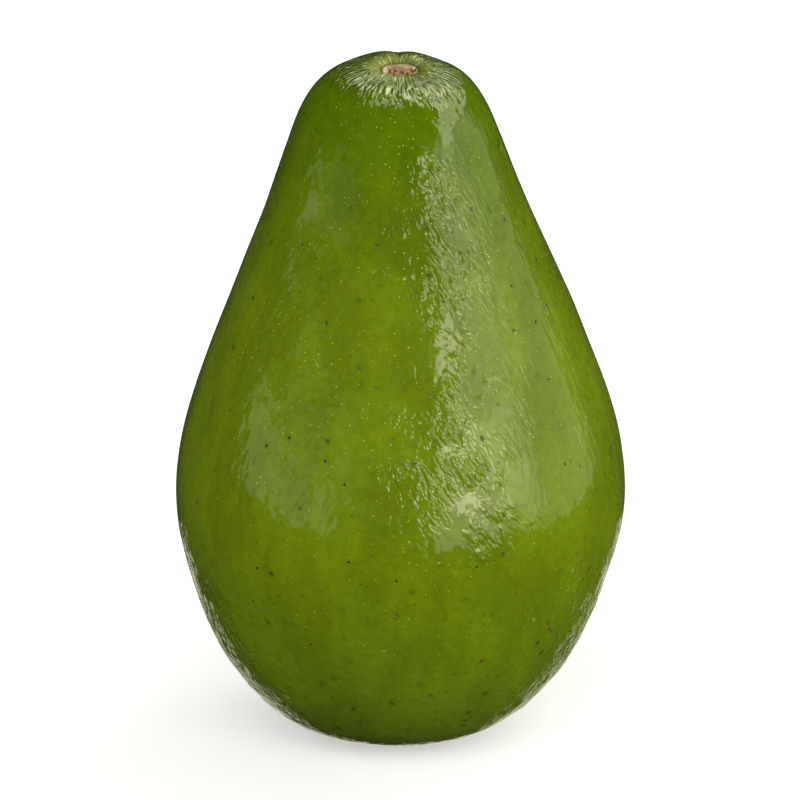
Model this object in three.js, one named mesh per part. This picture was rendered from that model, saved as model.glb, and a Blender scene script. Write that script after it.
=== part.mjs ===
// A whole green-skinned avocado, picked, standing on a small flat spot at its blossom end.
// It is two pieces: the fruit, and the corky button of stem that stays seated in the dimple on top.
// Millimetres, +Z up, the photographed side facing -Y. The origin is under the middle of the fruit,
// at the height of the flat spot.
import * as THREE from "three";

// Driving sizes of the fruit
const FRUIT_LENGTH = 133.3; // from the flat spot to the crest round the dimple
const BELLY_RADIUS = 43; // where the fruit is widest

// Control points of the outline, from the edge of the flat spot up to the dimple. Each radius is
// a share of the belly's, and each height a share of the fruit's length.
const OUTLINE = [
  { radius: 0.21, height: 0 },
  { radius: 0.35, height: 0 },
  { radius: 0.59, height: 0.032 },
  { radius: 0.83, height: 0.133 },
  { radius: 0.95, height: 0.25 },
  { radius: 1.03, height: 0.366 },
  { radius: 0.915, height: 0.507 },
  { radius: 0.75, height: 0.647 },
  { radius: 0.55, height: 0.802 },
  { radius: 0.44, height: 0.923 },
  { radius: 0.32, height: 0.98 },
  { radius: 0.147, height: 1.003 },
];

// The stem button and the socket that holds it
const BUTTON_RADIUS = 3.55;
const BUTTON_THICKNESS = 2;
const BUTTON_SINK = 1.5; // its rim is this far below the crest
const SEAT_GAP = 0.3;
const SOCKET_LIP_RISE = 0.1; // the skin stands this far above the button's rim
const BUTTON_EDGE = 0.25;
const BUTTON_DISH = 0.7; // the middle of the button is this far below its rim

// Rings of the dished top: each radius is a share of the button's, and each sink a share of the dish
const BUTTON_RINGS = [
  { radius: 0.75, sink: 0.5 },
  { radius: 0.5, sink: 1 },
  { radius: 0.25, sink: 1 },
  { radius: 0, sink: 1 },
];
const FIBRE_WAVES = { x: 5.2, y: 3.1 };
const FIBRE_HEIGHT = 0.15;

// Uneven growth: drifts shift the shoulders and the heel off the axis, and swells round out its sides
const DRIFTS = [
  { x: -1, y: 1.2, height: 125, spread: 26 },
  { x: -0.5, y: -0.5, height: 14, spread: 18 },
];
const DRIFT_FROM_RADIUS = 4;
const DRIFT_FULL_RADIUS = 16;
const SWELLS = [
  { count: 2, share: 0.006, turn: 0.2, twist: 0 },
  { count: 3, share: 0.004, turn: 2.1, twist: -1.3 },
  { count: 5, share: 0.002, turn: 4, twist: 2.2 },
];

// The pleats that gather the skin round the dimple, deeper at the back than at the front
const PLEAT_COUNT = 6;
const PLEAT_DEPTH = 0.65;
const PLEAT_EVENNESS = 0.7;
const PLEAT_PEAK_RADIUS = 7.5;
const PLEAT_SPREAD = 3.8;
const PLEATS_ABOVE = 0.88 * FRUIT_LENGTH;
const LIP_MARGIN = 0.01; // points this close to the socket's lip stay where they are
const FIRST_PLEAT = Math.PI / 2; // straight behind the dimple
const PLEAT_WANDER = 0.16;
const FRONT_DIP = 0.9; // the rim round the dimple is this much lower at the front

// Faces
const SEGMENTS = 84;
const ROWS_PER_SPAN = 4;
const BUTTON_SEGMENTS = 42;

const BUTTON_RIM_HEIGHT = FRUIT_LENGTH - BUTTON_SINK;
const BUTTON_FOOT_HEIGHT = BUTTON_RIM_HEIGHT - BUTTON_THICKNESS;
const SOCKET_RADIUS = BUTTON_RADIUS + SEAT_GAP;
const SOCKET_FLOOR_HEIGHT = BUTTON_FOOT_HEIGHT - SEAT_GAP;

function bell(value, middle, spread) {
  return Math.exp(-(((value - middle) / spread) ** 2));
}

// A smooth curve (uniform cubic B-spline) that starts at the first control and ends at the last one.
function smoothCurve(controls) {
  const beyond = (end, beside) => end.clone().multiplyScalar(2).sub(beside);
  const last = controls.length - 1;
  const padded = [
    beyond(controls[0], controls[1]),
    ...controls,
    beyond(controls[last], controls[last - 1]),
  ];
  const points = [];
  for (let span = 0; span < last; span++) {
    for (let row = 0; row < ROWS_PER_SPAN; row++) points.push(splinePoint(padded, span, row / ROWS_PER_SPAN));
  }
  return [...points, controls[last].clone()];
}

function splinePoint(controls, span, t) {
  const weights = [
    (1 - t) ** 3 / 6,
    (3 * t ** 3 - 6 * t ** 2 + 4) / 6,
    (-3 * t ** 3 + 3 * t ** 2 + 3 * t + 1) / 6,
    t ** 3 / 6,
  ];
  const point = new THREE.Vector2();
  weights.forEach((weight, i) => point.addScaledVector(controls[span + i], weight));
  return point;
}

// The outline from the middle of the flat spot, up the flank, over the crest and down into the socket.
function fruitOutline() {
  const controls = OUTLINE.map(
    ({ radius, height }) => new THREE.Vector2(radius * BELLY_RADIUS, height * FRUIT_LENGTH),
  );
  controls.push(new THREE.Vector2(SOCKET_RADIUS, BUTTON_RIM_HEIGHT + SOCKET_LIP_RISE));
  return [
    new THREE.Vector2(0, 0),
    ...smoothCurve(controls),
    new THREE.Vector2(SOCKET_RADIUS, SOCKET_FLOOR_HEIGHT),
    new THREE.Vector2(0, SOCKET_FLOOR_HEIGHT),
  ];
}

// Rounded lobes with a sharp crease between each two: 0 on a lobe, 1 in a crease.
function crease(angle) {
  const fromFirst = angle - FIRST_PLEAT;
  const wandering = fromFirst + PLEAT_WANDER * (Math.sin(2 * fromFirst) + Math.sin(3 * fromFirst) / 2);
  return 1 - Math.abs(Math.sin((wandering * PLEAT_COUNT) / 2));
}

// Swells, pleats and drifts move a point of the round outline to where the skin grew.
function growUnevenly(point) {
  const angle = Math.atan2(point.y, point.x);
  const radius = Math.hypot(point.x, point.y);
  const rise = point.z / FRUIT_LENGTH;
  const fullness = Math.sin(Math.PI * THREE.MathUtils.clamp(rise, 0, 1));
  let growth = 1;
  for (const { count, share, turn, twist } of SWELLS) {
    growth += share * fullness * Math.sin(count * angle + turn + twist * Math.PI * rise);
  }
  point.x *= growth;
  point.y *= growth;
  const outward = THREE.MathUtils.smoothstep(radius, DRIFT_FROM_RADIUS, DRIFT_FULL_RADIUS);
  for (const { x, y, height, spread } of DRIFTS) {
    const drift = outward * bell(point.z, height, spread);
    point.x += x * drift;
    point.y += y * drift;
  }
  if (point.z > PLEATS_ABOVE && radius > SOCKET_RADIUS + LIP_MARGIN) {
    const depth = PLEAT_DEPTH * THREE.MathUtils.lerp(Math.sin(angle), 1, PLEAT_EVENNESS);
    const toFront = (1 - Math.sin(angle)) / 2;
    const dip = FRONT_DIP * toFront * THREE.MathUtils.smoothstep(radius, SOCKET_RADIUS, PLEAT_PEAK_RADIUS);
    point.z -= (depth * crease(angle) + dip) * bell(radius, PLEAT_PEAK_RADIUS, PLEAT_SPREAD);
  }
}

// Torn wood fibres stand up from the button as short uneven ridges that die out at its rim.
function tearFibres(point) {
  if (point.z > BUTTON_FOOT_HEIGHT + BUTTON_THICKNESS / 2) {
    const inward = 1 - Math.hypot(point.x, point.y) / BUTTON_RADIUS;
    const across = Math.sin(point.x * FIBRE_WAVES.x) + Math.cos(point.y * FIBRE_WAVES.y);
    point.z += FIBRE_HEIGHT * across * inward;
  }
}

function turned(outline, segments) {
  return new THREE.LatheGeometry(outline, segments).rotateX(Math.PI / 2);
}

function movePoints(geometry, move) {
  const position = geometry.getAttribute("position");
  const point = new THREE.Vector3();
  for (let i = 0; i < position.count; i++) {
    move(point.fromBufferAttribute(position, i));
    position.setXYZ(i, point.x, point.y, point.z);
  }
  geometry.computeVertexNormals();
  return geometry;
}

// Skin and flesh grew as one body. Its skin is a waxy, glossy leaf green.
function makeFruit() {
  const geometry = movePoints(turned(fruitOutline(), SEGMENTS), growUnevenly);
  const skin = new THREE.MeshStandardMaterial({ color: 0x647c10, roughness: 0.3, metalness: 0 });
  const fruit = new THREE.Mesh(geometry, skin);
  fruit.name = "fruit";
  return fruit;
}

// The dried end of the stem: a cork disc with a raised rim round a dished, torn middle.
function makeStemButton() {
  const outline = [
    new THREE.Vector2(0, BUTTON_FOOT_HEIGHT),
    new THREE.Vector2(BUTTON_RADIUS - BUTTON_EDGE, BUTTON_FOOT_HEIGHT),
    new THREE.Vector2(BUTTON_RADIUS, BUTTON_FOOT_HEIGHT + BUTTON_EDGE),
    new THREE.Vector2(BUTTON_RADIUS, BUTTON_RIM_HEIGHT - BUTTON_EDGE),
    new THREE.Vector2(BUTTON_RADIUS - BUTTON_EDGE, BUTTON_RIM_HEIGHT),
  ];
  for (const { radius, sink } of BUTTON_RINGS) {
    outline.push(new THREE.Vector2(BUTTON_RADIUS * radius, BUTTON_RIM_HEIGHT - BUTTON_DISH * sink));
  }
  const geometry = movePoints(turned(outline, BUTTON_SEGMENTS), tearFibres);
  const cork = new THREE.MeshStandardMaterial({ color: 0x967f5c, roughness: 0.9, metalness: 0 });
  const button = new THREE.Mesh(geometry, cork);
  button.name = "stem_button";
  return button;
}

// The two pieces stand as grown, moved so that the origin is under the middle of the fruit.
function makeAvocado() {
  const asGrown = new THREE.Group();
  asGrown.add(makeFruit(), makeStemButton());
  const middle = new THREE.Box3().setFromObject(asGrown).getCenter(new THREE.Vector3());
  asGrown.position.set(-middle.x, -middle.y, 0);
  return new THREE.Group().add(asGrown);
}

export default makeAvocado();
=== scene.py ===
"""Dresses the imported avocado: a waxy, pitted green skin and a torn corky stem button.

It stands on a plain pale floor in soft studio light, seen from the front and a little above, as photographed.
Metres throughout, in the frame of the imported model.
"""

import functools
import math

import bmesh
import bpy
import numpy as np
from bpy.props import FloatProperty, FloatVectorProperty, IntProperty, PointerProperty
from mathutils import Matrix, Vector, noise


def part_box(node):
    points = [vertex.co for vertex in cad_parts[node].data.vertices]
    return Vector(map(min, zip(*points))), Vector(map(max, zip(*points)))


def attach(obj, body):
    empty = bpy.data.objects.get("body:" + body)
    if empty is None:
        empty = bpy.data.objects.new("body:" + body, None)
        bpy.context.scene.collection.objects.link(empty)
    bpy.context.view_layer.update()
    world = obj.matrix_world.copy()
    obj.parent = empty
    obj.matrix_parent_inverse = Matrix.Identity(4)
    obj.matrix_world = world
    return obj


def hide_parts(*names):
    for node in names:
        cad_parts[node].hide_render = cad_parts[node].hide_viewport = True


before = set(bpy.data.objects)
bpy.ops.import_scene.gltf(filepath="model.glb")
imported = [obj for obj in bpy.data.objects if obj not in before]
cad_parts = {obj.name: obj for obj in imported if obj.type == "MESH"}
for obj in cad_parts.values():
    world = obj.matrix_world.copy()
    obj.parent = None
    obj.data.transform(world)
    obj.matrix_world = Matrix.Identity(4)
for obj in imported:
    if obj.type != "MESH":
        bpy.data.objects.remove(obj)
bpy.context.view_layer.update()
FRUIT_LOW, FRUIT_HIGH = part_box("fruit")
BUTTON_LOW, BUTTON_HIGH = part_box("stem_button")

bl_info = {
    "name": "Green avocado",
    "version": (1, 0, 0),
    "blender": (4, 5, 0),
    "location": "3D View > Sidebar > Avocado",
    "description": "Builds the skin and the stem button of a green avocado, and its studio stage",
    "category": "Object",
}

MM = 0.001

# The upright line that the fruit grew round: the middle of its stem button
AXIS = (BUTTON_LOW + BUTTON_HIGH) / 2 * Vector((1, 1, 0))

FRUIT_LENGTH = 133.3 * MM
BELLY_RADIUS = 43 * MM

# Control points of the outline, as in the solid: each a share of the belly radius and of the length
OUTLINE = [
    (0.21, 0),
    (0.35, 0),
    (0.59, 0.032),
    (0.83, 0.133),
    (0.95, 0.25),
    (1.03, 0.366),
    (0.915, 0.507),
    (0.75, 0.647),
    (0.55, 0.802),
    (0.44, 0.923),
    (0.32, 0.98),
    (0.147, 1.003),
]
SEAT_GAP = 0.3 * MM
SOCKET_LIP_RISE = 0.1 * MM
ROW_SPACING = 0.82 * MM
FINE_ROW_SPACING = 0.35 * MM
FINE_ABOVE = 0.97  # share of the length
FOOT_BLEND = 3 * MM  # the fine relief comes up over this height above the flat spot
WELD_DISTANCE = 0.001 * MM

# Uneven growth, as in the solid
DRIFTS = [
    {"x": -1 * MM, "y": 1.2 * MM, "height": 125 * MM, "spread": 26 * MM},
    {"x": -0.5 * MM, "y": -0.5 * MM, "height": 14 * MM, "spread": 18 * MM},
]
DRIFT_FROM_RADIUS = 4 * MM
DRIFT_FULL_RADIUS = 16 * MM
SWELLS = [
    {"count": 2, "share": 0.006, "turn": 0.2, "twist": 0},
    {"count": 3, "share": 0.004, "turn": 2.1, "twist": -1.3},
    {"count": 5, "share": 0.002, "turn": 4, "twist": 2.2},
]
PLEAT_COUNT = 6
PLEAT_DEPTH = 0.65 * MM
PLEAT_EVENNESS = 0.7
PLEAT_PEAK_RADIUS = 7.5 * MM
PLEAT_SPREAD = 3.8 * MM
PLEATS_ABOVE = 0.88
FIRST_PLEAT = math.pi / 2  # straight behind the dimple
PLEAT_WANDER = 0.16
FRONT_DIP = 0.9 * MM  # the rim round the dimple is this much lower at the front
LIP_MARGIN = 0.01 * MM  # points this close to the socket's lip stay where they are

# Fine relief that only the dressed skin has. Uneven noise has lumps of two sizes.
LUMP_SIZE = 15 * MM
LUMP_HEIGHT = 0.3 * MM
DIMPLING = {"size": 3.6 * MM, "fine_size": 1.8 * MM, "fine_weight": 0.5}
DIMPLING_HEIGHT = 0.2 * MM
WRINKLE_COUNT = 46  # round the dimple
WRINKLE_HEIGHT = 0.16 * MM
WRINKLE_LENGTH = 5 * MM
WRINKLE_REACH = 15 * MM  # how far from the axis they run

# Where the skin is finely wrinkled: degrees round from the front to the right, and millimetres
WRINKLED_PATCHES = [
    {"azimuth": 15, "height": 104, "radius": 12, "strength": 1.15},
    {"azimuth": 11, "height": 65, "radius": 13, "strength": 1.0},
    {"azimuth": 23, "height": 53, "radius": 9, "strength": 0.9},
    {"azimuth": 30, "height": 75, "radius": 11, "strength": 0.35},
    {"azimuth": 42, "height": 84, "radius": 14, "strength": 0.3},
    {"azimuth": -32, "height": 66, "radius": 17, "strength": 0.2},
    {"azimuth": 80, "height": 17, "radius": 17, "strength": 1.4},
    {"azimuth": -78, "height": 17, "radius": 19, "strength": 1.4},
    {"azimuth": 150, "height": 80, "radius": 16, "strength": 0.8},
    {"azimuth": -125, "height": 60, "radius": 18, "strength": 0.8},
]
WRINKLED_ELSEWHERE = 0.09
WRINKLED_LIMITS = (0.02, 1)
CLUMPS = {"size": 6 * MM, "fine_size": 2.5 * MM, "fine_weight": 0.6}
CLUMP_MEAN = 0.7
CLUMP_CONTRAST = 1.5

# Broad low swellings: degrees round from the front to the right, and millimetres
SWELLINGS = [
    {"azimuth": 17, "height": 113, "radius": 9, "rise": 0.45},
    {"azimuth": 14, "height": 78, "radius": 9, "rise": 0.35},
]

# The stem button: a smooth plate at the back, and torn into crumbs from just behind its middle
BUTTON_EDGE = 0.25 * MM
BUTTON_SPACING = 0.12 * MM
BUTTON_SEGMENTS = 120
BUTTON_RIM_WIDTH = 1.2 * MM
TEAR_STARTS_BEHIND = 1.0 * MM
TEAR_FULL_BEHIND = 0.4 * MM
CRUMBS = {"size": 0.8 * MM, "fine_size": 0.35 * MM, "fine_weight": 0.5}
CRUMB_HEIGHT = 0.35 * MM

# The stage
FLOOR_HALF_WIDTH = 6.0
FLOOR_TOOTH = 2.5 * MM
FLOOR_TOOTH_HEIGHT = 0.1 * MM
FLOOR_TOOTH_STRENGTH = 0.1
FLOOR_ROUGHNESS = 0.9
FLOOR_GLOW = 0.45
ROOM_LIGHT = 0.02

# The camera, worked out from the photo's frame: 800 px is 152.6 mm at the fruit
CAMERA_ELEVATION = math.radians(20)
CAMERA_DISTANCE = 5.0
FRAME_WIDTH = 152.6 * MM
SENSOR_WIDTH = 36 * MM
AIM_HEIGHT = 65.1 * MM
AIM_SIDE = -0.1 * MM
CLIP_END = 20


def to_linear(hex_colour):
    """An sRGB hex colour such as "#647c10" as linear red, green and blue."""
    parts = [int(hex_colour[i:i + 2], 16) / 255 for i in (1, 3, 5)]
    return [c / 12.92 if c <= 0.04045 else ((c + 0.055) / 1.055) ** 2.4 for c in parts]


def rgba(colour):
    return (*colour, 1)


def add_node(tree, kind, settings=None, **sockets):
    """Adds a shader node, sets its properties, and links or sets each named or numbered input socket."""
    node = tree.nodes.new(kind)
    for name, value in (settings or {}).items():
        setattr(node, name, value)
    for name, value in sockets.items():
        socket = node.inputs[int(name[1:])] if name[0] == "_" else node.inputs[name.replace("_", " ")]
        if isinstance(value, bpy.types.NodeSocket):
            tree.links.new(value, socket)
        else:
            socket.default_value = value
    return node


def new_material(name):
    material = bpy.data.materials.new(name)
    material.use_nodes = True
    material.node_tree.nodes.clear()
    return material


# Shapes


def bell(value, middle, spread):
    return np.exp(-(((value - middle) / spread) ** 2))


def smooth_step(value, low, high):
    share = np.clip((value - low) / (high - low), 0, 1)
    return share * share * (3 - 2 * share)


def smooth_curve(controls, spacings):
    """A uniform cubic B-spline from the first control to the last, with its points about spacings apart."""
    controls = np.array(controls)
    before = 2 * controls[0] - controls[1]
    after = 2 * controls[-1] - controls[-2]
    padded = np.vstack([before, controls, after])
    points = []
    for a, b, c, d, spacing in zip(padded, padded[1:], padded[2:], padded[3:], spacings):
        rows = max(1, round(float(np.linalg.norm(c - b)) / spacing))
        t = (np.arange(rows) / rows)[:, None]
        weights = ((1 - t) ** 3, 3 * t**3 - 6 * t**2 + 4, -3 * t**3 + 3 * t**2 + 3 * t + 1, t**3)
        points.append(sum(w * p for w, p in zip(weights, (a, b, c, d))) / 6)
    return np.vstack([*points, controls[-1:]])


def straight(start, end, spacing):
    """Points from start up to, and without, end."""
    start, end = np.array(start), np.array(end)
    rows = max(1, round(float(np.linalg.norm(end - start)) / spacing))
    return start + (end - start) * (np.arange(rows) / rows)[:, None]


def turned_mesh(name, outline, segments):
    """The outline of (radius, height) turned all the way round the upright axis, and closed at its poles."""
    bm = bmesh.new()
    verts = [bm.verts.new((radius, 0, height)) for radius, height in outline]
    edges = [bm.edges.new(pair) for pair in zip(verts, verts[1:])]
    # A quarter turn is spun and then copied, which is much faster than one spin all the way round
    bmesh.ops.spin(
        bm, geom=verts + edges, cent=(0, 0, 0), axis=(0, 0, 1), angle=math.tau / 4, steps=segments // 4
    )
    quarter = bm.verts[:] + bm.edges[:] + bm.faces[:]
    for quarters in (1, 2, 3):
        copied = bmesh.ops.duplicate(bm, geom=quarter)["geom"]
        corners = [part for part in copied if isinstance(part, bmesh.types.BMVert)]
        turn = Matrix.Rotation(quarters * math.tau / 4, 3, "Z")
        bmesh.ops.rotate(bm, verts=corners, cent=(0, 0, 0), matrix=turn)
    bmesh.ops.remove_doubles(bm, verts=bm.verts, dist=WELD_DISTANCE)
    bmesh.ops.recalc_face_normals(bm, faces=bm.faces)
    for face in bm.faces:
        face.smooth = True
    mesh = bpy.data.meshes.new(name)
    bm.to_mesh(mesh)
    bm.free()
    return mesh


def read_points(mesh, what="co"):
    data = mesh.vertices if what == "co" else mesh.vertex_normals
    flat = np.empty(len(data) * 3, np.float32)
    data.foreach_get(what if what == "co" else "vector", flat)
    return flat.reshape(-1, 3).astype(float)


def write_points(mesh, points):
    mesh.vertices.foreach_set("co", points.astype(np.float32).ravel())
    mesh.update()


def noise_at(points):
    """Smooth noise, from about -1 to 1, at points given in units of its own size."""
    return np.array([noise.noise(p) for p in points.tolist()])


def uneven_noise(points, size, fine_size, fine_weight):
    return noise_at(points / size) + fine_weight * noise_at(points / fine_size)


def crease(angle):
    """Rounded lobes with a sharp crease between each two: 0 on a lobe, 1 in a crease."""
    turn = angle - FIRST_PLEAT
    wandering = turn + PLEAT_WANDER * (np.sin(2 * turn) + np.sin(3 * turn) / 2)
    return 1 - np.abs(np.sin(wandering * PLEAT_COUNT / 2))


def grow_unevenly(points, length, socket_radius):
    """Moves the points of the round outline to where the skin grew, as in the solid."""
    x, y, z = points.T.copy()
    angle = np.arctan2(y, x)
    radius = np.hypot(x, y)
    rise = z / length
    fullness = np.sin(math.pi * np.clip(rise, 0, 1))
    growth = np.ones_like(x)
    for swell in SWELLS:
        wave = np.sin(swell["count"] * angle + swell["turn"] + swell["twist"] * math.pi * rise)
        growth += swell["share"] * fullness * wave
    x, y = x * growth, y * growth
    outward = smooth_step(radius, DRIFT_FROM_RADIUS, DRIFT_FULL_RADIUS)
    for drift in DRIFTS:
        reach = outward * bell(z, drift["height"], drift["spread"])
        x, y = x + drift["x"] * reach, y + drift["y"] * reach
    pleated = (rise > PLEATS_ABOVE) & (radius > socket_radius + LIP_MARGIN)
    depth = PLEAT_DEPTH * (PLEAT_EVENNESS + (1 - PLEAT_EVENNESS) * np.sin(angle))
    dip = FRONT_DIP * (1 - np.sin(angle)) / 2 * smooth_step(radius, socket_radius, PLEAT_PEAK_RADIUS)
    z = z - pleated * (depth * crease(angle) + dip) * bell(radius, PLEAT_PEAK_RADIUS, PLEAT_SPREAD)
    return np.stack([x, y, z], axis=1)


def wrinkles(points, length):
    """Ridges that run out of the dimple like gathered cloth, and fade down the shoulders."""
    radius = np.hypot(points[:, 0], points[:, 1])
    shares = points[:, :2] / np.maximum(radius, MM)[:, None]
    along = radius + (length - points[:, 2])
    winding = WRINKLE_COUNT / math.tau
    place = np.column_stack([shares * winding, along / WRINKLE_LENGTH])
    ridges = 0.5 - np.abs(noise_at(place))
    near = 1 - smooth_step(along, WRINKLE_REACH / 3, WRINKLE_REACH)
    return ridges * near * smooth_step(points[:, 2] / length, PLEATS_ABOVE, FINE_ABOVE)


def skin_point(points, azimuth, height):
    """The point of the skin nearest to an azimuth, in degrees from the front to the right, and a height in mm."""
    turn = np.arctan2(points[:, 0], -points[:, 1]) - math.radians(azimuth)
    aside = np.hypot(points[:, 0], points[:, 1]) * ((turn + math.pi) % math.tau - math.pi)
    return points[np.argmin(aside**2 + (points[:, 2] - height * MM) ** 2)]


def away_from(points, azimuth, height):
    """How far each point is from that point of the skin."""
    return np.linalg.norm(points - skin_point(points, azimuth, height), axis=1)


def wrinkling(points):
    """How finely wrinkled the skin is at each point, from 0 to 1."""
    strength = np.full(len(points), WRINKLED_ELSEWHERE)
    for patch in WRINKLED_PATCHES:
        away = away_from(points, patch["azimuth"], patch["height"])
        strength = np.maximum(strength, patch["strength"] * bell(away, 0, patch["radius"] * MM))
    clumps = uneven_noise(points, **CLUMPS)
    return np.clip(strength * (CLUMP_MEAN + CLUMP_CONTRAST * clumps), *WRINKLED_LIMITS)


def swelling(points):
    """How far the broad swellings stand out at each point."""
    rises = [
        swell["rise"] * MM * bell(away_from(points, swell["azimuth"], swell["height"]), 0, swell["radius"] * MM)
        for swell in SWELLINGS
    ]
    return sum(rises)


# Materials

# Noise by what it shapes, with the size of its lumps in millimetres, or for the spokes in widths of a spoke.
# Scales below 1 stretch the lumps along that axis.
GRAINS = {
    "waver": {"size": 14, "detail": 1},
    "broad_tone": {"size": 9, "detail": 2, "scales": (1, 1, 0.45)},
    "fine_tone": {"size": 1.6, "detail": 3, "roughness": 0.6},
    "spokes": {"size": 1, "detail": 1},
    "gathers": {"size": 5, "detail": 1},
    "pore_clumps": {"size": 8, "detail": 1},
    "ragged": {"size": 0.5, "detail": 2},
    "blotches": {"size": 2.4, "detail": 2},
    "scratch_breaks": {"size": 0.9, "detail": 1},
    "folds": {"size": 1.8, "detail": 1, "scales": (1, 1, 0.36)},
    "fine_folds": {"size": 0.75, "detail": 1, "scales": (1, 1, 0.36)},
    "pebbling": {"size": 1.9, "detail": 1, "scales": (1, 1, 0.45)},
    "wax": {"size": 6, "detail": 3},
    "plate_shade": {"size": 1.6, "detail": 2, "scales": (1, 0.6, 1)},
    "plate_crack_shade": {"size": 1.8, "detail": 1, "scales": (0.6, 1, 1)},
    "crumbs": {"size": 0.75, "detail": 2, "scales": (1, 0.45, 1)},
    "torn_edge": {"size": 1.3, "detail": 2},
    "tips": {"size": 1.2, "detail": 1},
    "cork_tooth": {"size": 0.25, "detail": 2},
}

# Smooth blends by what they shape: while the value rises from the first number to the second, the result goes
# from the third to the fourth. Heights, radii and distances are in millimetres, and noise runs from 0 to 1.
BLENDS = {
    "heel_to_belly": (8, 45, 0, 1),
    "belly_to_neck": (88, 125, 0, 1),
    "broad_tone": (0.35, 0.65, 0.9, 1.1),
    "fine_tone": (0.3, 0.7, 0.92, 1.08),
    "dimple_radius": (4.2, 8, 1, 0),
    "dimple_height": (128, 131, 0, 1),
    "dimple_streaks": (0, 0.12, 0.25, 1),
    "dimple_side": (-1, 5, 1, 0.55),
    "gathered_along": (12, 21, 1, 0),
    "gathered_height": (120, 126, 0, 1),
    "gathered_side": (3, 12, 1, 0.55),
    "gathered_clumps": (0.38, 0.58, 0.7, 1.2),
    "crease_shade": (0, 0.035, 0.8, 0),
    "pore_size": (0, 1, 0.06, 0.19),
    "pore_edge": (0.7, 1, 1, 0),
    "pore_strength": (0.1, 0.8, 0.15, 1),
    "pore_clumps": (0.36, 0.56, 0.45, 1),
    "pore_height": (15, 75, 0.6, 1),
    "pit_size": (0.2, 1, 0.03, 0.12),
    "pit_edge": (0.6, 1, 1, 0),
    "pit_shadow": (0.8, 3, 0.3, 0),
    "pit_corkiness": (0.7, 0.75, 0, 1),
    "blotches": (0.6, 0.72, 0, 1),
    "blotch_height": (15, 70, 0.32, 0.1),
    "cork_heart": (0.2, 0.45, 0.9, 0),
    "scratch_breaks": (0.4, 0.55, 0.15, 1),
    "scar_radius": (1.1, 1.9, 1, 0),
    "scar_height": (1, 3, 1, 0),
    "left_to_right": (-9, 9, 0, 1),
    "fine_fold_height": (24, 34, 0.6, 0.15),
    "wax_roughness": (0.3, 0.75, 0.055, 0.11),
    "plate_shade": (0.35, 0.6, 0, 1),
    "plate_crack_shade": (0.01, 0.035, 0.85, 0),
    "crumbs": (0.42, 0.56, 0, 1),
    "torn_edge": (0.5, 0.9, 1, 0),
    "tips_side": (2.1, 2.7, 0, 1),
    "tips": (0.42, 0.5, 0, 1),
    "rim_shade": (3.2, 3.5, 0, 0.8),
}
NOISE_MIDDLE = 0.5

# The rest of the skin's look. Heights and sizes are in millimetres.
WAVER_HEIGHT = 40.0
SPOKE_DENSITY = 9.5  # spokes in each radian round the dimple
SPOKE_WAVER = 0.24  # changes of the spokes in each millimetre along them
PORE_CELL = 0.85  # each cell of this size holds one pore
PIT_CELL = 3.4
RAGGEDNESS = 1.1
FOLD_LEANS = (math.radians(-25), math.radians(33))  # on the left side and on the right
FOLD_HEIGHT = 1.7
PEBBLING_HEIGHT = 0.15
PORE_HEIGHT = 0.02
PIT_HEIGHT = -0.12
GATHER_HEIGHT = 1.7
WAX_IOR = 1.46
PIT_ROUGHNESS = 0.35
DIMPLE_ROUGHNESS = 0.45

# The rest of the cork's look. The reach and the height are in millimetres.
TORN_EDGE_REACH = 3.0
CORK_TOOTH_HEIGHT = 0.08
CORK_ROUGHNESS = 0.85
CORK_IOR = 1.4

# Marks of this one fruit: degrees round from the front to the right, height and radius in mm
MARK_KINDS = {
    "pit": {"colour": "#262a06", "core": 0.5, "strength": 0.95, "rise": -0.15},
    "cork": {"colour": "#77622a", "core": 0.6, "strength": 0.85, "rise": 0.04},
    "scuff": {"colour": "#a3b45e", "core": 0.3, "strength": 0.6, "rise": 0.05},
    "bruise_and_shade": {"colour": "#36420c", "core": 0.2, "strength": 0.7, "rise": -0.03},
    "graze": {"colour": "#8c8468", "core": 0.3, "strength": 0.75, "rise": 0.02},
}
MARKS = {
    "pit": [
        (83, 117, 0.7), (38, 110, 0.4), (28, 103, 0.4), (17, 95, 0.35), (49, 95, 0.35), (56, 87, 0.4),
        (44, 87, 0.5), (65, 89, 0.35), (24, 70, 0.6), (51, 61, 0.35), (28, 55, 0.4), (35, 49, 0.35),
        (53, 77, 0.35), (20, 46, 0.4), (25, 47, 0.3), (-13, 48, 0.35), (-10, 43, 0.3), (-39, 43, 0.35),
        (-42, 36, 0.35), (-29, 83, 0.3), (-27, 90, 0.45), (-15, 62, 0.35), (-1, 44, 0.3), (-25, 29, 0.3),
        (130, 60, 0.4), (160, 90, 0.4), (-150, 70, 0.4), (-110, 50, 0.35), (175, 40, 0.4), (-95, 85, 0.35),
    ],
    "cork": [
        (57, 60, 0.6), (32, 39, 0.35), (11, 39, 0.35), (-11, 90, 0.3), (54, 73, 0.35), (23, 57, 0.4),
        (24, 25, 0.8), (46, 29, 0.8), (56, 39, 0.5), (53, 43, 0.5), (39, 9, 0.6), (150, 30, 0.8),
        (-130, 95, 0.6),
    ],
    "scuff": [
        (52, 40, 0.5), (55, 35, 0.4), (60, 30, 0.4), (60, 65, 0.4), (61, 67, 0.35), (5, 83, 0.4),
        (10, 48, 0.4), (15, 38, 0.4), (40, 32, 0.6), (-40, 14, 0.9), (-34, 59, 0.4), (-4, 29, 0.5),
        (-170, 55, 0.7),
    ],
    "bruise_and_shade": [
        (-24, 8, 1.2), (-16, 14, 0.9), (25, 12, 0.9), (46, 23, 1.0), (-21, 70, 0.9),
        (120, 25, 1.2), (-140, 20, 1.3),
    ],
    "graze": [(29, 132, 0.8), (34, 131.3, 1.0), (38, 130, 0.9), (42, 128.5, 0.6)],
}

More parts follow.
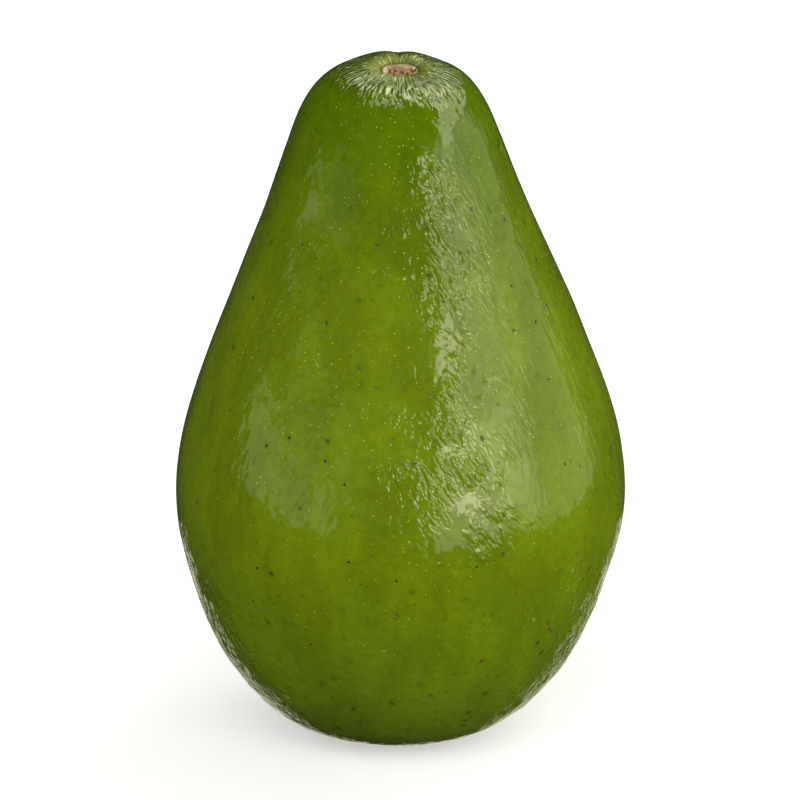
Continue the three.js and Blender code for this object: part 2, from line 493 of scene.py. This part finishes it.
# Pale scratches, each from one azimuth and height to another
SCRATCHES = [
    ((54, 39), (57, 31)), ((57, 41), (52, 32)), ((50, 36), (57, 37)), ((59.5, 66.5), (60.5, 63)),
    ((5, 84.5), (5.3, 82)), ((-30, 84), (-27, 82.5)), ((58, 35), (55, 29)),
]
SCRATCH_WIDTH = 0.3  # mm
SCRATCH_STRENGTH = 0.6
NICK = (83, 117)  # on the right edge of the neck
NICK_DEPTH = 0.6 * MM
NICK_RADIUS = 0.9 * MM


class Nodes:
    """Adds nodes to one material's tree. Each method gives the new node's output."""

    def __init__(self, tree):
        self.tree = tree

    def add(self, kind, settings=None, **sockets):
        """Adds any node, and gives the node itself."""
        return add_node(self.tree, kind, settings, **sockets)

    def math(self, operation, a, b=0.0):
        return self.add("ShaderNodeMath", {"operation": operation}, _0=a, _1=b).outputs[0]

    def product(self, *values):
        return functools.reduce(functools.partial(self.math, "MULTIPLY"), values)

    def total(self, *values):
        return functools.reduce(functools.partial(self.math, "ADD"), values)

    def vector(self, operation, a, b=(0, 0, 0), output="Vector"):
        return self.add("ShaderNodeVectorMath", {"operation": operation}, _0=a, _1=b).outputs[output]

    def scaled(self, vector, scale):
        return self.add("ShaderNodeVectorMath", {"operation": "SCALE"}, _0=vector, Scale=scale).outputs[0]

    def place_in_mm(self):
        """Millimetres from the foot of the axis that the fruit grew round."""
        coords = self.add("ShaderNodeTexCoord").outputs["Object"]
        return self.scaled(self.vector("SUBTRACT", coords, AXIS), 1 / MM)

    def ramp(self, value, low, high, to_low, to_high):
        """Goes smoothly from to_low to to_high while the value rises from low to high."""
        sockets = {"_0": value, "_1": low, "_2": high, "_3": to_low, "_4": to_high}
        return self.add("ShaderNodeMapRange", {"interpolation_type": "SMOOTHSTEP"}, **sockets).outputs[0]

    def blend(self, name, value):
        return self.ramp(value, *BLENDS[name])

    def mix(self, share, a, b):
        return self.add("ShaderNodeMix", {"data_type": "RGBA"}, _0=share, _6=a, _7=b).outputs[2]

    def grain(self, name, place, output="Fac"):
        """Noise from 0 to 1."""
        look = GRAINS[name]
        if "scales" in look:
            place = self.vector("MULTIPLY", place, look["scales"])
        sockets = {"Scale": 1 / look["size"], "Detail": look["detail"], "Roughness": look.get("roughness", 0.5)}
        return self.add("ShaderNodeTexNoise", None, Vector=place, **sockets).outputs[output]

    def from_middle(self, noise_value):
        return self.math("SUBTRACT", noise_value, NOISE_MIDDLE)

    def creased(self, noise_value):
        """Rounded folds with sharp creases between them: 0 in a crease, and more beside it."""
        return self.math("ABSOLUTE", self.from_middle(noise_value))


def make_skin_material(colours, crest, marks, scratches):
    """Avocado peel, waxed: a thin clear wax over leaf-green skin. Light glances off it in clean patches that
    wrinkles break up, and tiny yellow-green breathing pores and darker corky pits show through."""
    material = new_material("waxy_avocado_peel")
    nodes = Nodes(material.node_tree)
    place = nodes.place_in_mm()
    sideways, _, height = nodes.add("ShaderNodeSeparateXYZ", None, _0=place).outputs
    flat = nodes.vector("MULTIPLY", place, (1, 1, 0))
    radius = nodes.vector("LENGTH", flat, output="Value")
    outward = nodes.vector("NORMALIZE", flat)

    # The neck is a cooler green than the belly. Slow changes are streaked along the fruit, and fine ones even.
    waver = nodes.product(nodes.from_middle(nodes.grain("waver", place)), WAVER_HEIGHT)
    level = nodes.total(height, waver)
    green = nodes.mix(nodes.blend("heel_to_belly", level), colours["heel"], colours["belly"])
    green = nodes.mix(nodes.blend("belly_to_neck", level), green, colours["neck"])
    tones = [nodes.blend(name, nodes.grain(name, place)) for name in ("broad_tone", "fine_tone")]
    green = nodes.scaled(green, nodes.product(*tones))

    # The dimple's wall is a paler yellow-green, streaked outwards
    along = nodes.math("SUBTRACT", nodes.total(radius, crest), height)
    lengthwise = nodes.add("ShaderNodeCombineXYZ", None, _2=nodes.product(along, SPOKE_WAVER)).outputs[0]
    spokes = nodes.grain("spokes", nodes.vector("ADD", nodes.scaled(outward, SPOKE_DENSITY), lengthwise))
    from_crease = nodes.creased(spokes)
    in_dimple = nodes.product(
        nodes.blend("dimple_radius", radius),
        nodes.blend("dimple_height", height),
        nodes.blend("dimple_streaks", from_crease),
        nodes.blend("dimple_side", sideways),
    )
    green = nodes.mix(in_dimple, green, colours["dimple"])

    # The skin is gathered round the dimple, in clumps and most on the left, with painted shade in the creases
    # between its ridges
    gathered = nodes.product(
        nodes.blend("gathered_along", along),
        nodes.blend("gathered_height", height),
        nodes.blend("gathered_side", sideways),
        nodes.blend("gathered_clumps", nodes.grain("gathers", place)),
    )
    crease_shade = nodes.product(nodes.blend("crease_shade", from_crease), gathered)
    green = nodes.mix(crease_shade, green, colours["bruise_and_shade"])

    # Breathing pores: yellow-green specks 0.1 to 0.3 mm across, many of them faint
    pores = nodes.add("ShaderNodeTexVoronoi", None, Vector=place, Scale=1 / PORE_CELL).outputs
    size, strength, _ = nodes.add("ShaderNodeSeparateColor", None, _0=pores["Color"]).outputs
    share = nodes.math("DIVIDE", pores["Distance"], nodes.blend("pore_size", size))
    pore = nodes.product(
        nodes.blend("pore_edge", share),
        nodes.blend("pore_strength", strength),
        nodes.blend("pore_clumps", nodes.grain("pore_clumps", place)),
        nodes.blend("pore_height", height),
    )
    green = nodes.mix(pore, green, colours["pore"])

    # Everything darker has ragged edges
    shaken = nodes.vector("ADD", nodes.scaled(nodes.grain("ragged", place, "Color"), RAGGEDNESS), place)

    # Dark pits: 0.2 to 0.8 mm across, each in a faint shadow, and about a quarter of them corky
    pits = nodes.add("ShaderNodeTexVoronoi", None, Vector=shaken, Scale=1 / PIT_CELL).outputs
    size, kind, _ = nodes.add("ShaderNodeSeparateColor", None, _0=pits["Color"]).outputs
    share = nodes.math("DIVIDE", pits["Distance"], nodes.blend("pit_size", size))
    pit = nodes.blend("pit_edge", share)
    green = nodes.mix(nodes.blend("pit_shadow", share), green, colours["bruise_and_shade"])
    pit_colour = nodes.mix(nodes.blend("pit_corkiness", kind), colours["pit"], colours["cork"])
    green = nodes.mix(pit, green, pit_colour)

    # Faint blotches, stronger towards the blossom end
    blotch = nodes.blend("blotches", nodes.grain("blotches", place))
    blotch = nodes.product(blotch, nodes.blend("blotch_height", height))
    green = nodes.mix(blotch, green, colours["bruise_and_shade"])

    # The marks of this one fruit
    mean_shake = Vector([RAGGEDNESS * NOISE_MIDDLE] * 3)
    mark_relief = []
    for name, spots in marks.items():
        look = MARK_KINDS[name]
        shares = [
            nodes.math("DIVIDE", nodes.vector("DISTANCE", shaken, middle + mean_shake, "Value"), spot_size)
            for middle, spot_size in spots
        ]
        share = functools.reduce(functools.partial(nodes.math, "MINIMUM"), shares)
        inside = nodes.ramp(share, look["core"], 1, look["strength"], 0)
        green = nodes.mix(inside, green, rgba(to_linear(look["colour"])))
        if name == "cork":
            green = nodes.mix(nodes.blend("cork_heart", share), green, colours["pit"])
        mark_relief.append(nodes.product(inside, look["rise"]))

    # Pale scratches
    breaks = nodes.blend("scratch_breaks", nodes.grain("scratch_breaks", place))
    for start, end in scratches:
        reach = end - start
        from_start = nodes.vector("SUBTRACT", place, start)
        across = nodes.vector("DOT_PRODUCT", from_start, reach, "Value")
        share = nodes.math("DIVIDE", across, reach.length_squared)
        share = nodes.add("ShaderNodeClamp", None, Value=share).outputs[0]
        away = nodes.vector("DISTANCE", from_start, nodes.scaled(reach, share), "Value")
        scratch = nodes.ramp(away, SCRATCH_WIDTH / 4, SCRATCH_WIDTH / 2, SCRATCH_STRENGTH, 0)
        green = nodes.mix(nodes.product(scratch, breaks), green, rgba(to_linear(MARK_KINDS["scuff"]["colour"])))

    # The blossom scar is a dry brown spot in the middle of the underside
    scar = nodes.product(nodes.blend("scar_radius", radius), nodes.blend("scar_height", height))
    green = nodes.mix(scar, green, colours["cork"])

    # Relief in millimetres: wrinkles that lean outwards, low pebbling, and ridges out of the dimple
    turned = [
        nodes.add("ShaderNodeVectorRotate", {"rotation_type": "Y_AXIS"}, Vector=place, Angle=lean).outputs[0]
        for lean in FOLD_LEANS
    ]
    to_right = nodes.blend("left_to_right", sideways)

    def leaning_folds(name):
        left, right = (nodes.grain(name, side) for side in turned)
        return nodes.creased(nodes.add("ShaderNodeMix", None, _0=to_right, _2=left, _3=right).outputs[0])

    fine_height = nodes.blend("fine_fold_height", nodes.math("ABSOLUTE", sideways))
    folds = nodes.total(
        nodes.product(leaning_folds("fine_folds"), fine_height),
        nodes.product(leaning_folds("folds"), FOLD_HEIGHT),
    )
    wrinkled = nodes.add("ShaderNodeAttribute", {"attribute_name": "wrinkling"}).outputs["Fac"]
    relief = nodes.total(
        nodes.product(folds, wrinkled),
        nodes.product(nodes.grain("pebbling", place), PEBBLING_HEIGHT),
        nodes.product(pore, PORE_HEIGHT),
        nodes.product(pit, PIT_HEIGHT),
        nodes.product(from_crease, gathered, GATHER_HEIGHT),
        *mark_relief,
    )
    bump = nodes.add("ShaderNodeBump", None, Strength=1.0, Distance=MM, Height=relief).outputs[0]

    # Wax is worn thinner in places, and pits and the dimple's wall are dull
    rough = nodes.blend("wax_roughness", nodes.grain("wax", place))
    rough = nodes.math("MAXIMUM", rough, nodes.product(pit, PIT_ROUGHNESS))
    rough = nodes.math("MAXIMUM", rough, nodes.product(in_dimple, DIMPLE_ROUGHNESS))
    sockets = {"Base_Color": green, "Roughness": rough, "IOR": WAX_IOR, "Normal": bump}
    surface = nodes.add("ShaderNodeBsdfPrincipled", None, **sockets).outputs[0]
    nodes.add("ShaderNodeOutputMaterial", None, Surface=surface)
    return material


def make_cork_material(colours):
    """Dried stem cork: dead wood-like tissue where the stem parted, tan and smooth at the back, torn into
    orange-brown crumbs at the front. It is dull and dry all over."""
    material = new_material("dried_stem_cork")
    nodes = Nodes(material.node_tree)
    place = nodes.place_in_mm()
    sideways, behind, _ = nodes.add("ShaderNodeSeparateXYZ", None, _0=place).outputs
    radius = nodes.vector("LENGTH", nodes.vector("MULTIPLY", place, (1, 1, 0)), output="Value")

    # The back is a smooth plate with a few cracks, darkened with painted shade
    shade = nodes.blend("plate_shade", nodes.grain("plate_shade", place))
    plate = nodes.mix(shade, colours["plate_dark"], colours["plate"])
    crack_shade = nodes.blend("plate_crack_shade", nodes.creased(nodes.grain("plate_crack_shade", place)))
    plate = nodes.mix(crack_shade, plate, colours["painted_hollow_shade"])

    # The front is torn into crumbs, with painted shade in the hollows between them
    crumbs = nodes.blend("crumbs", nodes.grain("crumbs", place))
    fibre = nodes.mix(crumbs, colours["painted_hollow_shade"], colours["fibre"])
    ragged = nodes.product(nodes.from_middle(nodes.grain("torn_edge", place)), TORN_EDGE_REACH)
    colour = nodes.mix(nodes.blend("torn_edge", nodes.total(behind, ragged)), plate, fibre)

    # Pale dry tips at its sides, and painted shade round its rim, where it dried away from the skin
    at_sides = nodes.blend("tips_side", nodes.math("ABSOLUTE", sideways))
    tips = nodes.product(at_sides, nodes.blend("tips", nodes.grain("tips", place)))
    colour = nodes.mix(tips, colour, colours["cream"])
    colour = nodes.mix(nodes.blend("rim_shade", radius), colour, colours["painted_hollow_shade"])
    tooth = nodes.grain("cork_tooth", place)
    sockets = {"Strength": 1.0, "Distance": CORK_TOOTH_HEIGHT * MM, "Height": tooth}
    bump = nodes.add("ShaderNodeBump", None, **sockets).outputs[0]
    sockets = {"Base_Color": colour, "Roughness": CORK_ROUGHNESS, "IOR": CORK_IOR, "Normal": bump}
    surface = nodes.add("ShaderNodeBsdfPrincipled", None, **sockets).outputs[0]
    nodes.add("ShaderNodeOutputMaterial", None, Surface=surface)
    return material


def make_floor_material(colour):
    """White studio board, a little self-lit so that it stays white to the edges of the picture."""
    material = new_material("white_studio_board")
    nodes = Nodes(material.node_tree)
    coords = nodes.add("ShaderNodeTexCoord").outputs["Object"]
    tooth = nodes.add("ShaderNodeTexNoise", None, Vector=coords, Scale=1 / FLOOR_TOOTH, Detail=2.0).outputs["Fac"]
    sockets = {"Strength": FLOOR_TOOTH_STRENGTH, "Distance": FLOOR_TOOTH_HEIGHT, "Height": tooth}
    bump = nodes.add("ShaderNodeBump", None, **sockets).outputs[0]
    surface = nodes.add(
        "ShaderNodeBsdfPrincipled",
        None,
        Base_Color=colour,
        Roughness=FLOOR_ROUGHNESS,
        Normal=bump,
        Emission_Color=rgba((1, 1, 1)),
        Emission_Strength=FLOOR_GLOW,
    )
    nodes.add("ShaderNodeOutputMaterial", None, Surface=surface.outputs[0])
    return material


# Settings


class AvocadoFruitSettings(bpy.types.PropertyGroup):
    length: FloatProperty(
        name="Length",
        description="From the flat spot to the crest round the dimple",
        default=FRUIT_LENGTH,
        unit="LENGTH",
    )
    belly_radius: FloatProperty(
        name="Belly radius",
        description="Radius where the fruit is widest",
        default=BELLY_RADIUS,
        unit="LENGTH",
    )
    segments: IntProperty(
        name="Segments",
        description="Faces round the fruit",
        default=360,
    )
    heel: FloatVectorProperty(
        name="Heel green",
        description="The skin at the blossom end",
        default=to_linear("#667d12"),
        subtype="COLOR",
    )
    belly: FloatVectorProperty(
        name="Belly green", description="The skin of the belly", default=to_linear("#6b800a"), subtype="COLOR"
    )
    neck: FloatVectorProperty(
        name="Neck green", description="The skin of the neck", default=to_linear("#556f00"), subtype="COLOR"
    )
    dimple: FloatVectorProperty(
        name="Dimple", description="The wall of the dimple", default=to_linear("#99a32a"), subtype="COLOR"
    )
    pore: FloatVectorProperty(
        name="Pores", description="Tiny breathing pores", default=to_linear("#c6d048"), subtype="COLOR"
    )
    pit: FloatVectorProperty(
        name="Pits", description="Dark pits", default=to_linear("#2a3408"), subtype="COLOR"
    )
    cork: FloatVectorProperty(
        name="Cork specks", description="Brown corky specks", default=to_linear("#7a5d2c"), subtype="COLOR"
    )
    # Also the colour of the painted shade in the creases round the dimple, and of the painted shadow round each
    # pit
    bruise_and_shade: FloatVectorProperty(
        name="Bruises",
        description="Dull dark spots under the skin",
        default=to_linear("#3c4a0a"),
        subtype="COLOR",
    )


class AvocadoStemSettings(bpy.types.PropertyGroup):
    radius: FloatProperty(
        name="Button radius",
        description="Radius of the stem button",
        default=(BUTTON_HIGH.x - BUTTON_LOW.x) / 2,
        unit="LENGTH",
    )
    dish: FloatProperty(
        name="Dish",
        description="How far the torn middle lies below the rim",
        default=0.6 * MM,
        unit="LENGTH",
    )
    plate: FloatVectorProperty(
        name="Plate", description="The smooth back part", default=to_linear("#cfae86"), subtype="COLOR"
    )
    plate_dark: FloatVectorProperty(
        name="Plate shade", description="Darker patches of it", default=to_linear("#a37f5c"), subtype="COLOR"
    )
    fibre: FloatVectorProperty(
        name="Fibre", description="Torn fibres", default=to_linear("#d69a58"), subtype="COLOR"
    )
    # Painted shade: it darkens the hollows between the crumbs, the cracks of the plate and the rim of the button
    painted_hollow_shade: FloatVectorProperty(
        name="Fibre shade",
        description="Hollows between the fibres",
        default=to_linear("#4f2c16"),
        subtype="COLOR",
    )
    cream: FloatVectorProperty(
        name="Cream", description="Pale dry flecks", default=to_linear("#e2cfa8"), subtype="COLOR"
    )


class AvocadoStageSettings(bpy.types.PropertyGroup):
    floor: FloatVectorProperty(
        name="Floor", description="Colour of the studio floor", default=to_linear("#f2f2f0"), subtype="COLOR"
    )


def colours_of(settings, *names):
    return {name: rgba(getattr(settings, name)) for name in names}


# Operators


class AVOCADO_OT_fruit(bpy.types.Operator):
    """Builds the whole fruit's skin, in place of its plain solid"""

    bl_idname = "avocado.fruit"
    bl_label = "Build fruit"

    def execute(self, context):
        fruit = context.scene.avocado_fruit
        socket_radius = context.scene.avocado_stem.radius + SEAT_GAP
        lip = (socket_radius, BUTTON_HIGH.z + SOCKET_LIP_RISE)
        floor_height = BUTTON_LOW.z - SEAT_GAP
        controls = [(r * fruit.belly_radius, h * fruit.length) for r, h in OUTLINE] + [lip]
        spacings = [FINE_ROW_SPACING if h > FINE_ABOVE * fruit.length else ROW_SPACING for _, h in controls]
        outline = np.vstack([
            straight((0, 0), controls[0], ROW_SPACING),
            smooth_curve(controls, spacings),
            (socket_radius, floor_height),
            (0, floor_height),
        ])
        mesh = turned_mesh("fruit_skin", outline, fruit.segments)
        points = grow_unevenly(read_points(mesh), fruit.length, socket_radius)
        write_points(mesh, points)
        normals = read_points(mesh, "normals")
        from_socket = np.hypot(points[:, 0], points[:, 1]) - socket_radius
        outside = smooth_step(points[:, 2], 0, FOOT_BLEND) * smooth_step(from_socket, 0, MM)
        wrinkled = wrinkling(points)
        relief = (
            LUMP_HEIGHT * noise_at(points / LUMP_SIZE)
            + swelling(points)
            + DIMPLING_HEIGHT * wrinkled * uneven_noise(points, **DIMPLING)
            + WRINKLE_HEIGHT * wrinkles(points, fruit.length)
            - NICK_DEPTH * bell(away_from(points, *NICK), 0, NICK_RADIUS)
        )
        points += normals * (relief * outside)[:, None]
        write_points(mesh, points + np.array(AXIS))
        attribute = mesh.attributes.new("wrinkling", "FLOAT", "POINT")
        attribute.data.foreach_set("value", wrinkled.astype(np.float32))
        marks = {
            name: [(Vector(skin_point(points, azimuth, height)) / MM, size) for azimuth, height, size in spots]
            for name, spots in MARKS.items()
        }
        scratches = [
            tuple(Vector(skin_point(points, *end)) / MM for end in scratch)
            for scratch in SCRATCHES
        ]
        piece = bpy.data.objects.new("fruit_skin", mesh)
        context.scene.collection.objects.link(piece)
        colours = colours_of(fruit, "heel", "belly", "neck", "dimple", "pore", "pit", "cork", "bruise_and_shade")
        mesh.materials.append(make_skin_material(colours, fruit.length / MM, marks, scratches))
        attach(piece, "root")
        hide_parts("fruit")
        return {"FINISHED"}


class AVOCADO_OT_stem(bpy.types.Operator):
    """Builds the torn, corky stem button in the dimple, in place of its plain solid"""

    bl_idname = "avocado.stem"
    bl_label = "Build stem button"

    def execute(self, context):
        stem = context.scene.avocado_stem
        top = BUTTON_HIGH.z
        foot = BUTTON_LOW.z
        inner = stem.radius - BUTTON_EDGE
        outline = np.vstack([
            straight((0, foot), (inner, foot), 4 * BUTTON_SPACING),
            straight((inner, foot), (stem.radius, foot + BUTTON_EDGE), 2 * BUTTON_SPACING),
            straight((stem.radius, foot + BUTTON_EDGE), (stem.radius, top - BUTTON_EDGE), 2 * BUTTON_SPACING),
            straight((stem.radius, top - BUTTON_EDGE), (inner, top), BUTTON_SPACING),
            straight((inner, top), (0, top), BUTTON_SPACING),
            (0, top),
        ])
        mesh = turned_mesh("stem_cork", outline, BUTTON_SEGMENTS)
        points = read_points(mesh)
        radius = np.hypot(points[:, 0], points[:, 1])
        on_top = points[:, 2] > top - BUTTON_EDGE / 2
        inward = smooth_step(stem.radius - radius, 0, BUTTON_RIM_WIDTH)
        torn = smooth_step(-points[:, 1], -TEAR_STARTS_BEHIND, -TEAR_FULL_BEHIND)
        dish = -stem.dish * inward * (1 + torn) / 2
        crumbs = CRUMB_HEIGHT * torn * inward * uneven_noise(points, **CRUMBS)
        points[:, 2] += on_top * np.minimum(dish + crumbs, 0)
        write_points(mesh, points + np.array(AXIS))
        piece = bpy.data.objects.new("stem_cork", mesh)
        context.scene.collection.objects.link(piece)
        colours = colours_of(stem, "plate", "plate_dark", "fibre", "painted_hollow_shade", "cream")
        mesh.materials.append(make_cork_material(colours))
        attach(piece, "root")
        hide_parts("stem_button")
        return {"FINISHED"}


# The studio's lamps, by the directions that they fill as seen from the fruit, in degrees. Azimuth runs from
# the front (0) to the right (90). The waxy skin mirrors the panels, and the fills only brighten it.
PANELS = [
    {"name": "right_panel", "azimuth": (38, 116), "elevation": (-11, 28), "radiance": 0.95},
    {"name": "right_end", "azimuth": (114, 130), "elevation": (-10, 12), "radiance": 0.12},
    {"name": "right_high", "azimuth": (45, 100), "elevation": (14, 30), "radiance": 0.5},
    {"name": "hot_panel", "azimuth": (18, 46), "elevation": (0, 12), "radiance": 9.0},
    {"name": "hot_low", "azimuth": (20, 46), "elevation": (-12, 0), "radiance": 2.2},
    {"name": "hot_right", "azimuth": (46, 80), "elevation": (-7, 14), "radiance": 1.45},
    {"name": "hot_core", "azimuth": (46, 72), "elevation": (2, 14), "radiance": 1.4},
    {"name": "hot_high", "azimuth": (36, 76), "elevation": (14, 23), "radiance": 1.0},
    {"name": "hot_neck", "azimuth": (24, 44), "elevation": (19, 26), "radiance": 6.5},
    {"name": "key_panel", "azimuth": (62, 145), "elevation": (27, 46), "radiance": 3.7},
    {"name": "key_high", "azimuth": (76, 150), "elevation": (46, 74), "radiance": 6.5},
    {"name": "left_panel", "azimuth": (-94, -36), "elevation": (-4, 13), "radiance": 0.95, "facing": -50},
    {"name": "left_high", "azimuth": (-72, -28), "elevation": (10, 19), "radiance": 0.3},
    {"name": "left_rim", "azimuth": (-174, -160), "elevation": (20, 60), "radiance": 2.6},
    {"name": "back_panel", "azimuth": (148, 186), "elevation": (26, 56), "radiance": 1.8},
    {"name": "low_left_rim", "azimuth": (-184, -160), "elevation": (-37, -23), "radiance": 0.85},
    {"name": "low_right_rim", "azimuth": (158, 176), "elevation": (-36, -22), "radiance": 0.75},
]
FILLS = [
    {"name": "front_fill", "azimuth": (-40, 40), "elevation": (-10, 30), "radiance": 1.6},
    {"name": "high_fill", "azimuth": (-40, 40), "elevation": (30, 60), "radiance": 2.1},
    {"name": "right_fill", "azimuth": (40, 110), "elevation": (-20, 30), "radiance": 2.1},
    {"name": "right_back_fill", "azimuth": (110, 150), "elevation": (0, 50), "radiance": 2.4},
    {"name": "left_fill", "azimuth": (-110, -40), "elevation": (0, 45), "radiance": 1.2},
    {"name": "low_left_fill", "azimuth": (-140, -80), "elevation": (-40, 0), "radiance": 0.15},
    {"name": "back_fill", "azimuth": (150, 220), "elevation": (-10, 50), "radiance": 0.7},
]
PANEL_DISTANCE = 3.0
PANEL_TINT = (1.0, 0.97, 0.7)

# Ceiling panels lie square to this azimuth. Their sides are given as shares of the ceiling's height, first
# towards that azimuth and then to the right of it.
CEILING_HEADING = math.radians(62)
CEILING_HEIGHT = 3.0
CEILING = [
    {"name": "ceiling_right", "ahead": (-0.4, 0.32), "aside": (0.0, 0.75), "radiance": 6.5},
    {"name": "ceiling_left", "ahead": (-0.35, 0.3), "aside": (-0.42, 0.0), "radiance": 3.4},
]


def direction(azimuth, elevation=0.0):
    return Vector((
        math.sin(azimuth) * math.cos(elevation),
        -math.cos(azimuth) * math.cos(elevation),
        math.sin(elevation),
    ))


def add_lamp(name, width, height, radiance, location, turn, mirrored):
    lamp = bpy.data.lights.new(name, "AREA")
    lamp.shape = "RECTANGLE"
    lamp.size = width
    lamp.size_y = height
    lamp.energy = radiance * math.pi * width * height
    lamp.color = PANEL_TINT if mirrored else (1, 1, 1)
    box = bpy.data.objects.new(name, lamp)
    box.location = location
    box.rotation_euler = turn
    box.visible_camera = False
    box.visible_glossy = mirrored
    box.visible_diffuse = not mirrored
    bpy.context.scene.collection.objects.link(box)


def add_upright_lamp(name, azimuth, elevation, radiance, middle, mirrored, facing=None):
    """A wall of light, upright and square to the facing azimuth, that fills the given range of directions."""
    facing = sum(azimuth) / 2 if facing is None else facing
    near, far = (PANEL_DISTANCE * math.tan(math.radians(angle - facing)) for angle in azimuth)
    foot, top = (PANEL_DISTANCE * math.tan(math.radians(angle)) for angle in elevation)
    away = direction(math.radians(facing))
    aside = direction(math.radians(facing + 90))
    location = middle + away * PANEL_DISTANCE + aside * (near + far) / 2 + Vector((0, 0, (foot + top) / 2))
    turn = away.to_track_quat("Z", "Y").to_euler()
    add_lamp(name, far - near, top - foot, radiance, location, turn, mirrored)


def add_ceiling_lamp(name, ahead, aside, radiance, middle):
    """A level panel overhead."""
    forward, right = direction(CEILING_HEADING), direction(CEILING_HEADING + math.pi / 2)
    place = Vector((0, 0, 1)) + forward * sum(ahead) / 2 + right * sum(aside) / 2
    turn = (0, 0, math.atan2(forward.y, forward.x))
    sizes = [CEILING_HEIGHT * (side[1] - side[0]) for side in (ahead, aside)]
    add_lamp(name, *sizes, radiance, middle + place * CEILING_HEIGHT, turn, True)


class AVOCADO_OT_stage(bpy.types.Operator):
    """Builds the pale floor, the softboxes and the camera"""

    bl_idname = "avocado.stage"
    bl_label = "Build stage"

    def execute(self, context):
        scene = context.scene
        stage = scene.avocado_stage
        bm = bmesh.new()
        bmesh.ops.create_grid(bm, x_segments=1, y_segments=1, size=FLOOR_HALF_WIDTH)
        mesh = bpy.data.meshes.new("floor")
        bm.to_mesh(mesh)
        bm.free()
        floor = bpy.data.objects.new("floor", mesh)
        floor.visible_glossy = False
        floor.visible_shadow = False
        floor.visible_diffuse = False
        scene.collection.objects.link(floor)
        mesh.materials.append(make_floor_material(rgba(stage.floor)))

        middle = Vector((0, 0, FRUIT_HIGH.z / 2))
        for panel in PANELS:
            add_upright_lamp(middle=middle, mirrored=True, **panel)
        for fill in FILLS:
            add_upright_lamp(middle=middle, mirrored=False, **fill)
        for panel in CEILING:
            add_ceiling_lamp(middle=middle, **panel)

        # The studio is dark apart from its lamps, but the camera sees white behind the floor
        world = bpy.data.worlds.new("studio")
        world.use_nodes = True
        tree = world.node_tree
        to_camera = add_node(tree, "ShaderNodeLightPath").outputs["Is Camera Ray"]
        brightness = add_node(tree, "ShaderNodeMapRange", None, _0=to_camera, _3=ROOM_LIGHT).outputs[0]
        tree.links.new(brightness, tree.nodes["Background"].inputs["Strength"])
        tree.nodes["Background"].inputs["Color"].default_value = (1, 1, 1, 1)
        scene.world = world
        scene.view_settings.view_transform = "Standard"

        camera_data = bpy.data.cameras.new("camera")
        camera_data.sensor_width = SENSOR_WIDTH / MM
        camera_data.lens = SENSOR_WIDTH * CAMERA_DISTANCE / FRAME_WIDTH / MM
        camera_data.clip_end = CLIP_END
        camera = bpy.data.objects.new("camera", camera_data)
        back = direction(0, CAMERA_ELEVATION)
        camera.location = Vector((AIM_SIDE, 0, AIM_HEIGHT)) + back * CAMERA_DISTANCE
        camera.rotation_euler = back.to_track_quat("Z", "Y").to_euler()
        scene.collection.objects.link(camera)
        scene.camera = camera
        return {"FINISHED"}


class AVOCADO_PT_panel(bpy.types.Panel):
    """Lists the avocado's settings and the steps that build it"""

    bl_label = "Avocado"
    bl_idname = "AVOCADO_PT_panel"
    bl_space_type = "VIEW_3D"
    bl_region_type = "UI"
    bl_category = "Avocado"

    def draw(self, context):
        for settings, operator in STEPS:
            box = self.layout.box()
            group = getattr(context.scene, settings)
            for name in group.__annotations__:
                box.prop(group, name)
            box.operator(operator)


STEPS = (
    ("avocado_fruit", "avocado.fruit"),
    ("avocado_stem", "avocado.stem"),
    ("avocado_stage", "avocado.stage"),
)
CLASSES = (
    AvocadoFruitSettings,
    AvocadoStemSettings,
    AvocadoStageSettings,
    AVOCADO_OT_fruit,
    AVOCADO_OT_stem,
    AVOCADO_OT_stage,
    AVOCADO_PT_panel,
)


def register():
    for cls in CLASSES:
        bpy.utils.register_class(cls)
    bpy.types.Scene.avocado_fruit = PointerProperty(type=AvocadoFruitSettings)
    bpy.types.Scene.avocado_stem = PointerProperty(type=AvocadoStemSettings)
    bpy.types.Scene.avocado_stage = PointerProperty(type=AvocadoStageSettings)


def unregister():
    del bpy.types.Scene.avocado_stage
    del bpy.types.Scene.avocado_stem
    del bpy.types.Scene.avocado_fruit
    for cls in reversed(CLASSES):
        bpy.utils.unregister_class(cls)


def main():
    register()
    bpy.ops.avocado.fruit()
    bpy.ops.avocado.stem()
    bpy.ops.avocado.stage()


if __name__ == "__main__":
    main()
